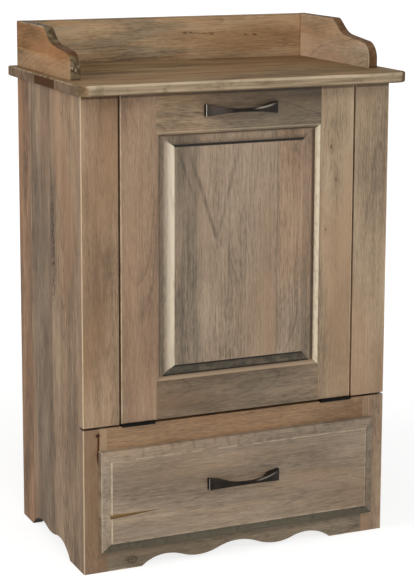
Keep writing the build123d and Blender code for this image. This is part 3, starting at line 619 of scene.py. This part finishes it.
def rail_ends_stain_and_shade(colour, xyz, facing):
    """The rail is darker from its middle to its right end, and paler at its left end. Painted shade
    darkens its lower edge and the top of its front under the slab, and a pale line runs 7 mm above
    its lower edge.
    """
    x, z = xyz[0], xyz[2]
    colour = (x.rise(-0.12, 0.06) * 0.95).shade(colour, (0.72, 0.77, 0.8, 1.0))
    colour = x.rise(0.0, -0.1).shade(colour, (1.5, 1.46, 1.4, 1.0))
    # Painted shade along the rail's lower edge, which faces down.
    shaded_low_edge = z.rise(top_rail_low + 0.0035, top_rail_low + 0.002)
    colour = (shaded_low_edge * 0.8).shade(colour, (0.45, 0.42, 0.38, 1.0))
    colour = painted_shadow_under_slab(colour, xyz, facing)
    return (z.near(top_rail_low + 0.007, 0.0016, 0.0006) * 0.5).tint(colour, paint(190, 172, 144))


def rail_middle_stain_and_highlight(colour, xyz, facing):
    """The bottom rail is darkest in its middle third. Its upward-facing moulded edge is painted paler
    and pinker as a highlight.
    """
    x, z = xyz[0], xyz[2]
    cloudy = x.cloud((x * 9.0, z * 40.0, 2.0), 3.0, 0.6).rise(0.4, 0.62)
    colour = (x.band(-0.1, 0.12, 0.05) * (cloudy * 0.5 + 0.4)).shade(colour, (0.64, 0.67, 0.7, 1.0))
    # Painted highlight on the upward-facing moulded edge.
    moulding = z.rise(bottom_rail_high - 0.0072, bottom_rail_high - 0.0058)
    return (moulding * 0.65).tint(colour, paint(172, 148, 122))


door_tone = (paint(112, 91, 72), paint(146, 121, 98), paint(168, 143, 117), paint(156, 120, 92))
stained_maple(
    "door_stile_left",
    "z",
    "x",
    door_tone,
    1.1,
    (-0.2, 1.6, 0.06, 240.0),
    edges=("x- y-",),
    marks=painted_shadow_under_slab,
    grit=0.85,
)
door_right = (paint(122, 104, 84), paint(160, 138, 112), paint(182, 160, 133), paint(168, 137, 106))
stained_maple(
    "door_stile_right",
    "z",
    "x",
    door_right,
    5.9,
    (0.19, 0.15, 0.055, 240.0),
    edges=("x+ y-",),
    marks=small_knots,
    mottle=1.7,
    grit=0.9,
)
rail_grey = (paint(76, 65, 52), paint(116, 99, 80), paint(146, 126, 103), paint(132, 105, 78))
stained_maple(
    "door_rail_top", "x", "z", rail_grey, 3.7, (0.8, -0.9, 0.09, 240.0), marks=rail_ends_stain_and_shade, mottle=1.3
)
stained_maple(
    "door_rail_bottom", "x", "z", rail_grey, 8.3, (0.33, -0.9, 0.09, 240.0), marks=rail_middle_stain_and_highlight, mottle=1.3
)


# Door panel
# A raised panel of two boards with a broad cathedral down its left half. The cove along its top
# and bottom runs across the grain, so it has soaked up the stain; the bottom cove is also painted
# darker as shade.

side_cove_width, end_cove_width = 0.0285, 0.0205
panel_middle = (bottom_rail_high + top_rail_low) / 2
panel_field_x = stile_inner - side_cove_width
panel_field_z = (top_rail_low - bottom_rail_high) / 2 - end_cove_width


def panel_stain_and_painted_light(colour, xyz, facing):
    """The panel's own figure and stain.

    A dark band runs down its left side, and one broad V stands above the middle. The coves along the
    top and bottom soak up stain across the grain and hold a dark line along the field, partly soaked
    end grain and partly painted shade; the bottom cove is painted darker as shade, with a line of
    painted shade along its rail. The left cove has painted shade beside the stile and a dark joint
    line, and is painted pale towards the field, partly as wear and partly as a highlight. The right
    cove is painted a little darker as shade, with a line of painted shadow beside the right stile.
    """
    x, z = xyz[0], xyz[2]
    sway = (x.cloud((z * 5.0, 3.0, 1.0)) - 0.5) * 0.05
    grainy = x.cloud((x * 120.0, z * 6.0, 5.0), 3.0, 0.6).rise(0.3, 0.62)
    dark_side = (x + sway).band(-0.124, -0.078, 0.012) * (grainy * 0.6 + 0.4)
    colour = (dark_side * 0.95).shade(colour, (0.56, 0.6, 0.62, 1.0))
    peak_x, peak_z = -0.0448, 0.597
    left_half = (x - peak_x).math("LESS_THAN", 0.0)
    lean = left_half * 0.07 + 0.257
    bend = (x.cloud((z * 24.0, left_half * 5.0, 2.0)) - 0.5) * 0.006
    climb = (x - peak_x).math("ABSOLUTE") - (z - peak_z) * lean + bend
    broken = x.cloud((x * 90.0, z * 26.0, 6.0), 3.0, 0.6).rise(0.36, 0.6)
    branch = climb.math("ABSOLUTE").rise(0.006, 0.001) * z.rise(0.592, 0.606) * z.rise(0.79, 0.68)
    outer = climb.near(0.02, 0.004, 0.001) * z.band(0.68, 0.76, 0.02) * left_half
    figure = branch * (left_half * 0.25 + 0.75) + outer * 0.7
    colour = (figure * (grainy * 0.4 + 0.3 + broken * 0.3)).shade(colour, (0.46, 0.47, 0.46, 1.0))
    right_board = x.rise(0.075, 0.079)
    colour = (right_board * z.rise(0.44, 0.56)).shade(colour, (1.03, 0.94, 0.88, 1.0))
    curve = x - 0.121 + (0.475 - z) * (0.475 - z) * 2.9
    late_ring = curve.math("ABSOLUTE").rise(0.0035, 0.0008) * z.band(0.385, 0.455, 0.02)
    colour = (late_ring * 0.6).shade(colour, (0.56, 0.54, 0.5, 1.0))
    knotty = x.cloud((x * 24.0, z * 16.0, 8.0), 2.0, 0.5).rise(0.58, 0.72) * x.rise(0.06, 0.09)
    colour = (knotty * 0.6).shade(colour, (0.82, 0.72, 0.64, 1.0))
    out_x = x.math("ABSOLUTE") - panel_field_x
    out_z = (z - panel_middle).math("ABSOLUTE") - panel_field_z
    end_cove = out_z.rise(0.0, 0.0006) * (out_z - out_x).rise(-0.0035, 0.0)
    streaky = x.cloud((x * 160.0, z * 14.0, 2.0), 3.0, 0.6)
    low_cove = end_cove * z.rise(0.5, 0.49)
    curls = x.cloud((x * 52.0, z * 75.0, 2.0), 3.0, 0.55).rise(0.42, 0.6)
    # Painted shade: the bottom cove faces down and is darkened over its whole width, over its soaked stain.
    colour = (low_cove * (curls * 0.25 + 0.7)).tint(colour, paint(66, 62, 50))
    colour = (end_cove * (curls * 0.3 + 0.35)).shade(colour, (0.7, 0.68, 0.65, 1.0))
    # A dark line along the top and bottom of the field, partly soaked end grain and partly painted shade.
    colour = (end_cove * out_z.rise(0.006, 0.0028)).tint(colour, paint(26, 22, 16))
    # Painted shade in the groove along the bottom rail.
    colour = (low_cove * out_z.rise(0.0165, 0.0195)).tint(colour, paint(30, 24, 16))
    corner_slope = 1.39
    side_cove = out_x.rise(0.0, 0.0006) * (out_x - out_z * corner_slope).rise(-0.0035, 0.0)
    left_cove = side_cove * x.math("LESS_THAN", 0.0)
    # Painted highlight, partly wear: the left cove pales towards the field, where it faces the light.
    pale_edge_mask = out_x.rise(0.0205, 0.003) * (streaky.rise(0.3, 0.5) * 0.35 + 0.6)
    colour = (left_cove * pale_edge_mask).tint(colour, paint(212, 198, 174))
    # Painted shadow of the left stile over the outer part of the left cove, then a dark joint line.
    colour = (left_cove * out_x.rise(0.0165, 0.021) * 0.9).shade(colour, (0.56, 0.56, 0.52, 1.0))
    colour = (left_cove * out_x.rise(0.0262, 0.0276)).shade(colour, (0.4, 0.38, 0.34, 1.0))
    # Painted shade: the right cove faces away from the light, with a painted shadow line beside the right
    # stile.
    right_cove = side_cove * x.math("GREATER_THAN", 0.0)
    colour = (right_cove * 0.8).shade(colour, (0.86, 0.84, 0.82, 1.0))
    return (right_cove * out_x.rise(0.021, 0.0245) * 0.9).shade(colour, (0.3, 0.27, 0.23, 1.0))


panel_tone = (paint(104, 91, 75), paint(145, 126, 106), paint(168, 148, 126), paint(152, 125, 100))
stained_maple(
    "door_panel",
    "z",
    "x",
    panel_tone,
    2.6,
    (-0.35, 0.2, 0.1, 150.0),
    joints=[0.0765],
    marks=panel_stain_and_painted_light,
    mottle=1.0,
    grit=1.2,
    soak=(0.2, 0.7),
)


# Drawer front
# One wide board with a bevelled border and a field that stands a small step above it. A streak of
# resin runs in from the left edge of the field.

bevel_width = 0.017
drawer_low, drawer_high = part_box("drawer_front")
drawer_middle = (drawer_low[2] + drawer_high[2]) / 2
drawer_field_x = drawer_high[0] - bevel_width
drawer_field_z = (drawer_high[2] - drawer_low[2]) / 2 - bevel_width


def drawer_marks(colour, xyz, facing):
    """The front's own stain, and a tapering ochre streak of resin, dark along its lower side.

    Faint grey clouds lie over the board. The left bevel is painted a little paler as if lit, and the
    right one darker as painted shade, both smudged; the bottom one is painted dark as shade, and a
    line of painted shade runs inside the right edge of the field. Parts of the field's arris and the
    board's left edge are paled, partly as wear and partly as painted highlight, most on the left arris.
    """
    x, z = xyz[0], xyz[2]
    haze = x.cloud((x * 2.6, z * 20.0 + x * 1.2, 2.0), 2.0, 0.5).rise(0.42, 0.64)
    colour = (haze * 0.6).shade(colour, (0.82, 0.86, 0.92, 1.0))
    out_x = x.math("ABSOLUTE") - drawer_field_x
    out_z = (z - drawer_middle).math("ABSOLUTE") - drawer_field_z
    beside_field = out_z.rise(-0.001, -0.003)
    inside = out_x.math("MAXIMUM", out_z)
    bevel = inside.rise(0.0, 0.0006)
    end_bevel = bevel * (out_x - out_z).rise(-0.0015, 0.0015)
    smudge = x.cloud((x * 90.0, z * 45.0, 7.0), 3.0, 0.6).rise(0.5, 0.66)
    # Painted light and shade: the left bevel paler, the right one darker.
    colour = (end_bevel * x.rise(0.1, 0.0) * 0.9).shade(colour, (1.04, 1.07, 1.1, 1.0))
    colour = (end_bevel * x.rise(0.0, 0.1) * 0.9).shade(colour, (0.78, 0.8, 0.78, 1.0))
    colour = (end_bevel * smudge * 0.7).shade(colour, (0.62, 0.62, 0.62, 1.0))
    # Painted shade: a dark line inside the right edge of the field.
    shaded_far_side = x.near(drawer_field_x + 0.0016, 0.0018, 0.0006) * beside_field
    colour = (shaded_far_side * 0.7).shade(colour, (0.42, 0.4, 0.36, 1.0))
    long_bevel = bevel * (out_z - out_x).rise(-0.0015, 0.0015)
    # Painted shade: the bottom bevel faces down and is darkened.
    shaded_low_bevel = long_bevel * z.math("LESS_THAN", 0.1)
    colour = (shaded_low_bevel * 0.97).shade(colour, (0.32, 0.36, 0.31, 1.0))
    colour = (long_bevel * smudge * 0.6).shade(colour, (0.6, 0.6, 0.6, 1.0))
    chipped = x.cloud((x * 45.0, z * 45.0, 3.0), 3.0, 0.6).rise(0.36, 0.6)
    # Pale lines, partly worn and partly painted highlight, strongest on the left arris, which faces the
    # light.
    arris = inside.near(-0.0012, 0.0022, 0.0006) * (chipped * 0.4 + 0.02)
    lit_left_arris = x.near(0.0012 - drawer_field_x, 0.0022, 0.0006)
    arris = arris + lit_left_arris * beside_field * 0.5
    rim = x.near(drawer_low[0] + 0.0005, 0.0024, 0.0008)
    arris = arris.math("MAXIMUM", rim * (chipped * 0.4 + 0.1))
    colour = arris.tint(colour, paint(202, 184, 158))
    streak_start, streak_height, streak_slope = -0.26, 0.109, 0.035
    run = x.rise(-0.15, streak_start)
    offset = z - streak_height - (x - streak_start) * streak_slope
    body = (offset.math("ABSOLUTE") - run * 0.0034).rise(0.0006, -0.0004)
    body = body * x.math("GREATER_THAN", streak_start - 0.0005) * x.rise(-0.149, -0.18)
    under = (offset + run * 0.002).math("ABSOLUTE").rise(0.0016, 0.0004)
    colour = body.tint(colour, paint(114, 86, 40))
    return (body * under * 0.85).tint(colour, paint(76, 56, 26))


drawer_tone = (paint(98, 86, 72), paint(142, 124, 104), paint(170, 151, 128), paint(152, 126, 99))
stained_maple(
    "drawer_front",
    "x",
    "z",
    drawer_tone,
    7.2,
    (0.1, -0.9, 0.06, 220.0),
    marks=drawer_marks,
    mottle=0.8,
    grit=0.85,
)


# Carcass inside, bin carrier and drawer box
# Clear-lacquered maple and plywood. Most of it is seen only when the door or the drawer is open. The
# back panel also shows from behind.

def clear_maple(node, grain, across, seed, ply=None):
    """Pale lacquered maple. ply is the axis through a sheet of plywood, whose layers show on edge."""
    material, shader, xyz, facing = new_finish("clear_" + node)
    along = "xyz".index(grain)
    side = "xyz".index(across)
    u, v, w = xyz[along] + seed, xyz[side], xyz[3 - along - side]
    wander = v.cloud((u * 4.0, v * 9.0, w * 9.0)) - 0.5
    sideways = v + wander * 0.02
    behind = u * 0.03 + 0.06
    radius = (sideways * sideways + behind * behind).math("SQRT")
    rings = v.cloud((radius * 210.0, u * 0.5, seed), 3.0, 0.6)
    fibre = v.cloud((u * 14.0, v * 520.0, w * 520.0), 2.0, 0.6)
    shade = rings * 0.55 + fibre * 0.45
    colour = shade.rise(0.2, 0.8).tint(paint(190, 156, 112), paint(226, 198, 156))
    if ply:
        layer = "xyz".index(ply)
        wave = (xyz[layer] * (math.tau / 0.0026)).math("SINE").rise(-0.2, 0.2)
        edge = facing.part(layer).math("ABSOLUTE").rise(0.6, 0.3)
        colour = edge.tint(colour, wave.tint(paint(158, 120, 78), paint(214, 182, 136)))
    plug(colour, shader.inputs["Base Color"])
    plug(fibre * 0.1 + 0.38, shader.inputs["Roughness"])
    emboss(fibre, 0.0002, 0.3, shader)
    dress(node, material)


clear_maple("divider_shelf", "x", "y", 1.3)
clear_maple("stretcher_front", "x", "y", 2.6)
clear_maple("stretcher_back", "x", "y", 3.9)
for seed, node in enumerate(("slide_spacer_left", "slide_spacer_right")):
    clear_maple(node, "y", "z", 5.2 + seed)
for seed, node in enumerate(("carrier_side_left", "carrier_side_right")):
    clear_maple(node, "z", "y", 7.5 + seed, ply="x")
clear_maple("carrier_base", "x", "y", 9.1, ply="z")
clear_maple("carrier_back", "x", "z", 9.8, ply="y")
for seed, node in enumerate(("carrier_cleat_left", "carrier_cleat_right")):
    clear_maple(node, "z", "x", 10.4 + seed)
for seed, node in enumerate(("stop_block_left", "stop_block_right")):
    clear_maple(node, "z", "x", 12.4 + seed)
for seed, node in enumerate(("drawer_side_left", "drawer_side_right")):
    clear_maple(node, "y", "z", 14.2 + seed)
clear_maple("drawer_box_front", "x", "z", 16.6)
clear_maple("drawer_box_back", "x", "z", 17.9)
clear_maple("back_panel", "z", "x", 19.3, ply="y")
clear_maple("bottom_panel", "x", "y", 20.1, ply="z")
clear_maple("drawer_bottom", "x", "y", 21.4, ply="z")


# Pulls
# Die-cast bow-tie pulls with a dark bronze coating. The coating is satin and a little browner where
# it is thin, and parts of the blade's edge carry painted highlights.

def bronze(node):
    """Satin dark bronze, with painted highlights at the left end of the blade and along the top of its right
    half.

    The blade's half height is its waist plus its flare times the square of how far along it a point
    is, from 0 in the middle to 1 at an end. The painted highlight runs a small inset below that edge.
    """
    low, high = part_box(node)
    half, middle = (high[0] - low[0]) / 2, (high[2] + low[2]) / 2
    waist, flare, inset = 0.003, 0.008, 0.0016
    material, shader, (x, y, z), facing = new_finish("bronze_" + node)
    cast = x.cloud((x * 900.0, y * 900.0, z * 900.0), 2.0, 0.6)
    patch = x.cloud((x * 60.0, y * 60.0, z * 60.0), 3.0, 0.6)
    along = x.math("ABSOLUTE") / half
    ahead = facing.part(1).rise(-0.5, -0.8)
    left_end_highlight = x.near(0.0006 - half, 0.0008, 0.0002) * ahead
    from_top = z - middle - (along * along * flare + (waist - inset))
    right_half = x.rise(0.012, 0.03) * x.rise(0.069, 0.05)
    swept_highlight = from_top.math("ABSOLUTE").rise(0.0026, 0.0004) * right_half * ahead
    colour = patch.rise(0.35, 0.7).tint(paint(32, 30, 28), paint(44, 37, 33))
    # Painted highlights: a sweep along the top of the right half, and a line at the left end.
    colour = (swept_highlight * 0.36).tint(colour, paint(176, 166, 152))
    colour = (left_end_highlight * 0.5).tint(colour, paint(176, 168, 158))
    plug(colour, shader.inputs["Base Color"])
    plug(patch * 0.12 + 0.26, shader.inputs["Roughness"])
    emboss(cast, 0.0001, 0.25, shader)
    shader.inputs["Metallic"].default_value = 1.0
    dress(node, material)


bronze("door_pull")
bronze("drawer_pull")


# Butt hinges
# Black powder-coated steel: a leaf under the door, a leaf on the middle rail, their rolled
# knuckles and a pin. The screws are black too.

def powder_coat(node):
    material, shader, (x, y, z), _ = new_finish("powder_" + node)
    pebble = x.cloud((x * 1500.0, y * 1500.0, z * 1500.0), 2.0, 0.5)
    plug(pebble.rise(0.3, 0.7).tint(paint(9, 9, 9), paint(20, 19, 18)), shader.inputs["Base Color"])
    plug(pebble * 0.2 + 0.35, shader.inputs["Roughness"])
    emboss(pebble, 0.0001, 0.3, shader)
    shader.inputs["Specular IOR Level"].default_value = 0.06
    dress(node, material)


for side in ("left", "right"):
    powder_coat("hinge_frame_leaf_" + side)
    powder_coat("hinge_door_leaf_" + side)
powder_coat("hinge_pins")
powder_coat("hinge_screws_frame")
powder_coat("hinge_screws_door")


# Drawer slides, screws and catch plates
# Rolled steel with bright zinc plating. The plating is drawn along the length of the slides and
# clouded where it was dipped.

def zinc(node):
    material, shader, (x, y, z), _ = new_finish("zinc_" + node)
    drawn = x.cloud((x * 800.0, y * 20.0, z * 800.0), 2.0, 0.6)
    cloudy = x.cloud((x * 40.0, y * 18.0, z * 40.0), 3.0, 0.6)
    plug(cloudy.rise(0.3, 0.7).tint(paint(176, 180, 186), paint(206, 206, 202)), shader.inputs["Base Color"])
    plug(drawn * 0.2 + 0.2, shader.inputs["Roughness"])
    emboss(drawn, 0.0001, 0.2, shader)
    shader.inputs["Metallic"].default_value = 1.0
    dress(node, material)


for side in ("left", "right"):
    zinc("slide_outer_" + side)
    zinc("slide_middle_" + side)
    zinc("slide_inner_" + side)
for node in ("door_pull_screws", "drawer_pull_screws", "drawer_front_screws", "catch_plates"):
    zinc(node)


# Waste bin and magnetic catches
# The bin is injection-moulded white polypropylene with a faint grained texture. The catches are
# moulded in brown plastic.

def moulded(node, low, high, grain):
    material, shader, (x, y, z), _ = new_finish("moulded_" + node)
    texture = x.cloud((x * grain, y * grain, z * grain), 2.0, 0.5)
    scuffs = x.cloud((x * 30.0, y * 30.0, z * 9.0), 4.0, 0.65)
    plug(scuffs.rise(0.35, 0.75).tint(low, high), shader.inputs["Base Color"])
    plug(texture * 0.16 + 0.36, shader.inputs["Roughness"])
    emboss(texture, 0.0002, 0.25, shader)
    dress(node, material)


moulded("waste_bin", paint(214, 213, 208), paint(226, 225, 221), 900.0)
moulded("magnetic_catches", paint(78, 52, 34), paint(92, 62, 42), 1200.0)


# Floor and backdrop
# A plain pale studio floor that runs out of sight. It shows white to the camera, and keeps the
# soft shadow under the cabinet.

reach = 30.0
steps = np.linspace(-reach, reach, 3)
gx, gy = np.meshgrid(steps, steps)
points = np.stack([gx.ravel(), gy.ravel(), np.zeros(gx.size)], axis=1)
corner = (np.arange(2)[:, None] * 3 + np.arange(2)[None, :]).ravel()
quads = np.stack([corner, corner + 1, corner + 4, corner + 3], axis=1)
floor_mesh = bpy.data.meshes.new("floor")
floor_mesh.from_pydata(points.tolist(), [], quads.tolist())
floor = bpy.data.objects.new("floor", floor_mesh)
bpy.context.scene.collection.objects.link(floor)
floor_finish, floor_shader, floor_place, _ = new_finish("floor")
floor_shader.inputs["Base Color"].default_value = (0.6, 0.59, 0.58, 1.0)
floor_shader.inputs["Roughness"].default_value = 0.9
tree = floor_finish.node_tree
rays = tree.nodes.new("ShaderNodeLightPath")
path = Wire(tree, rays.outputs["Is Camera Ray"]).math("MAXIMUM", Wire(tree, rays.outputs["Is Glossy Ray"]))
seen = path.node("ShaderNodeBsdfDiffuse", None, {"Color": (0.4, 0.4, 0.4, 1.0)})
away = (floor_place[0] * floor_place[0] + floor_place[1] * floor_place[1]).math("SQRT").rise(0.4, 2.4)
glow = away.tint((0.78, 0.78, 0.78, 1.0), (1.0, 1.0, 1.0, 1.0))
lift = path.node("ShaderNodeEmission", None, {"Color": glow, "Strength": 1.0})
bright = path.node("ShaderNodeAddShader", None, {0: seen, 1: lift})
plain = Wire(tree, floor_shader.outputs[0])
both = path.node("ShaderNodeMixShader", None, {0: path, 1: plain, 2: bright})
plug(both, tree.nodes["Material Output"].inputs["Surface"])
floor_mesh.materials.append(floor_finish)


# Light
# Soft studio light: an even surround, a low key in front on the left that shines off the left-hand
# mouldings, a tall box well round to the left, one high in front, and a weak strip on the right.

world = bpy.data.worlds.new("studio")
bpy.context.scene.world = world
world.use_nodes = True
tree = world.node_tree
ambient = tree.nodes["Background"]
ambient.inputs["Color"].default_value = (1.0, 0.99, 0.97, 1.0)
ambient.inputs["Strength"].default_value = 0.27
rays = tree.nodes.new("ShaderNodeLightPath")
direct = Wire(tree, rays.outputs["Is Camera Ray"]).math("MAXIMUM", Wire(tree, rays.outputs["Is Glossy Ray"]))
direct = direct.math("MAXIMUM", Wire(tree, rays.outputs["Is Transmission Ray"]))
white = direct.node("ShaderNodeBackground", None, {"Color": (1.0, 1.0, 1.0, 1.0), "Strength": 1.0})
sky = direct.node("ShaderNodeMixShader", None, {0: direct, 1: Wire(tree, ambient.outputs[0]), 2: white})
plug(sky, tree.nodes["World Output"].inputs["Surface"])


def softbox(name, place, target, width, height, power, colour):
    """A rectangular area light at a place, turned to face a target."""
    lamp = bpy.data.lights.new(name, "AREA")
    lamp.shape = "RECTANGLE"
    lamp.size = width
    lamp.size_y = height
    lamp.energy = power
    lamp.color = colour
    holder = bpy.data.objects.new(name, lamp)
    aim = Vector(target) - Vector(place)
    holder.rotation_mode = "QUATERNION"
    holder.rotation_quaternion = aim.to_track_quat("-Z", "Y")
    holder.location = place
    holder.visible_camera = False
    bpy.context.scene.collection.objects.link(holder)


softbox("key", (-0.75, -2.24, 0.5), (0.0, -0.15, 0.5), 1.1, 0.9, 15.0, (1.0, 0.99, 0.97))
softbox("side", (-3.1, -0.7, 2.0), (0.0, 0.0, 0.5), 0.9, 1.8, 44.0, (1.0, 0.98, 0.96))
softbox("high", (-0.4, -3.4, 2.8), (0.0, 0.0, 0.5), 2.0, 1.2, 34.0, (1.0, 1.0, 1.0))
softbox("strip", (2.7, -1.9, 1.4), (0.0, 0.0, 0.5), 0.6, 1.8, 14.0, (0.97, 0.98, 1.0))


# Camera
# It is 1.2 m above the floor and about 3.3 m from the middle of the cabinet, to its left. Its shift
# of about a sixth of the picture's height fits the photograph's perspective better than none.

lens = bpy.data.cameras.new("camera")
lens.sensor_width = 36.0
lens.lens = 108.42
lens.shift_y = -0.168
lens.clip_start = 0.1
lens.clip_end = 100.0
camera = bpy.data.objects.new("camera", lens)
camera.location = (-1.3269, -3.0115, 1.2196)
camera.rotation_euler = (math.radians(80.228), math.radians(-0.169), math.radians(-23.778))
bpy.context.scene.collection.objects.link(camera)
bpy.context.scene.camera = camera
bpy.context.scene.view_settings.view_transform = "Standard"
